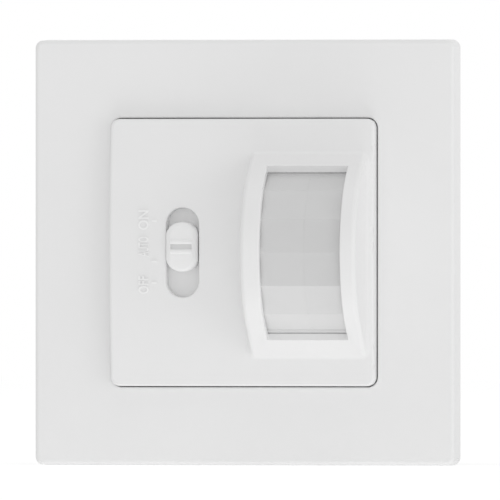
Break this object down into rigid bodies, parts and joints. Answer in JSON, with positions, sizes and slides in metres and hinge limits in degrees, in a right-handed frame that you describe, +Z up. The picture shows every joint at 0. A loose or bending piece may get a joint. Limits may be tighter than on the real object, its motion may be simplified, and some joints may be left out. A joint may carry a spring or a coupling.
{
  "type": "motion sensor light switch",
  "caption": "Flush wall switch with a bulged motion sensor lens and a three-position slide knob in a square white frame, with insert, mounting ring and claws.",
  "frame": {"origin": "centre of the box screw pattern on the back face of the mounting ring, in the wall plane", "axes": "+Z up and +X right as in the picture; the front faces -Y and the insert reaches back along +Y"},
  "size_m": [0.08, 0.0473, 0.08],
  "materials": {
    "frame_white": "white moulded plastic, satin gloss",
    "cover_white": "white moulded plastic, satin gloss",
    "knob_white": "white moulded plastic, satin",
    "lens_milky": "milky polyethylene film, satin",
    "retainer_white": "white moulded plastic, satin",
    "holder_black": "black moulded plastic",
    "insert_grey": "grey moulded plastic, lightly textured",
    "carrier_grey": "light grey moulded plastic",
    "ring_steel": "zinc plated sheet steel",
    "screw_steel": "zinc plated steel",
    "can_nickel": "nickel plated can",
    "can_window": "dark infrared filter",
    "clear_resin": "clear epoxy",
    "board_green": "green solder mask",
    "chip_black": "black epoxy",
    "switch_steel": "tinned steel shell",
    "trimmer_blue": "blue moulded plastic",
    "dial_white": "white moulded plastic",
    "lever_black": "black moulded plastic",
    "relay_blue": "blue moulded case",
    "film_yellow": "yellow moulded case",
    "drum_sleeve": "black shrink sleeve",
    "disc_blue": "blue epoxy dip",
    "fuse_ceramic": "cream ceramic tube",
    "terminal_grey": "light grey moulded plastic",
    "terminal_brass": "brass",
    "pin_brass": "gold flashed brass"
  },
  "bodies": {
    "insert": {"mode_switch_body": "switch_steel", "lux_trimmer_base": "trimmer_blue", "time_trimmer_base": "trimmer_blue", "pir_sensor_can": "can_nickel", "pir_window": "can_window", "sensor_holder": "holder_black", "light_sensor": "clear_resin", "sensor_board": "board_green", "controller_chip": "chip_black", "board_link_pins": "pin_brass", "power_board": "board_green", "relay": "relay_blue", "film_capacitor": "film_yellow", "electrolytic_capacitors": "drum_sleeve", "varistor": "disc_blue", "fuse": "fuse_ceramic", "terminal_block": "terminal_grey", "terminal_cages": "terminal_brass", "terminal_screws": "screw_steel", "carrier_plate": "carrier_grey", "insert_screws": "screw_steel", "insert_housing": "insert_grey", "mounting_ring": "ring_steel", "upper_claw_pin": "screw_steel", "lower_claw_pin": "screw_steel"},
    "frame": {"outer_frame": "frame_white"},
    "cover": {"centre_cover": "cover_white", "lens": "lens_milky", "lens_retainer": "retainer_white"},
    "mode_knob": {"mode_knob": "knob_white"},
    "switch_lever": {"mode_switch_lever": "lever_black"},
    "lux_dial": {"lux_trimmer_dial": "dial_white"},
    "time_dial": {"time_trimmer_dial": "dial_white"},
    "upper_claw": {"upper_claw": "ring_steel"},
    "upper_claw_screw": {"upper_claw_screw": "screw_steel"},
    "upper_claw_nut": {"upper_claw_nut": "ring_steel"},
    "lower_claw": {"lower_claw": "ring_steel"},
    "lower_claw_screw": {"lower_claw_screw": "screw_steel"},
    "lower_claw_nut": {"lower_claw_nut": "ring_steel"}
  },
  "joints": [
    {"name": "frame_pull", "type": "slide", "parent": "insert", "child": "frame", "axis": [0, -1, 0], "range_m": [0, 0.03]},
    {"name": "cover_pull", "type": "slide", "parent": "frame", "child": "cover", "axis": [0, -1, 0], "range_m": [0, 0.03]},
    {"name": "mode_knob_slide", "type": "slide", "parent": "cover", "child": "mode_knob", "axis": [0, 0, 1], "range_m": [-0.00465, 0.00255]},
    {"name": "switch_lever_slide", "type": "slide", "parent": "insert", "child": "switch_lever", "axis": [0, 0, 1], "range_m": [-0.00465, 0.00255]},
    {"name": "lux_dial_turn", "type": "hinge", "parent": "insert", "child": "lux_dial", "pos_m": [-0.0018, -0.004, 0.0095], "axis": [0, 1, 0], "range_deg": [-135, 135]},
    {"name": "time_dial_turn", "type": "hinge", "parent": "insert", "child": "time_dial", "pos_m": [-0.0018, -0.004, -0.0095], "axis": [0, 1, 0], "range_deg": [-135, 135]},
    {"name": "upper_claw_screw_turn", "type": "hinge", "parent": "insert", "child": "upper_claw_screw", "pos_m": [0, 0, 0.0209], "axis": [0, 1, 0], "range_deg": [0, 432]},
    {"name": "upper_claw_swing", "type": "hinge", "parent": "insert", "child": "upper_claw", "pos_m": [0, 0.0024, 0.0181], "axis": [1, 0, 0], "range_deg": [0, 12]},
    {"name": "upper_claw_nut_climb", "type": "slide", "parent": "insert", "child": "upper_claw_nut", "axis": [0, -1, 0], "range_m": [0, 0.0006]},
    {"name": "lower_claw_screw_turn", "type": "hinge", "parent": "insert", "child": "lower_claw_screw", "pos_m": [0, 0, -0.0209], "axis": [0, 1, 0], "range_deg": [0, 432]},
    {"name": "lower_claw_swing", "type": "hinge", "parent": "insert", "child": "lower_claw", "pos_m": [0, 0.0024, -0.0181], "axis": [-1, 0, 0], "range_deg": [0, 12]},
    {"name": "lower_claw_nut_climb", "type": "slide", "parent": "insert", "child": "lower_claw_nut", "axis": [0, -1, 0], "range_m": [0, 0.0006]}
  ],
  "couplings": [
    {"joint": "switch_lever_slide", "follows": "mode_knob_slide", "ratio": 1},
    {"joint": "upper_claw_screw_turn", "follows": "upper_claw_nut_climb", "rad_per_m": 12565},
    {"joint": "upper_claw_swing", "follows": "upper_claw_nut_climb", "rad_per_m": 349.03},
    {"joint": "lower_claw_screw_turn", "follows": "lower_claw_nut_climb", "rad_per_m": 12565},
    {"joint": "lower_claw_swing", "follows": "lower_claw_nut_climb", "rad_per_m": 349.03}
  ]
}
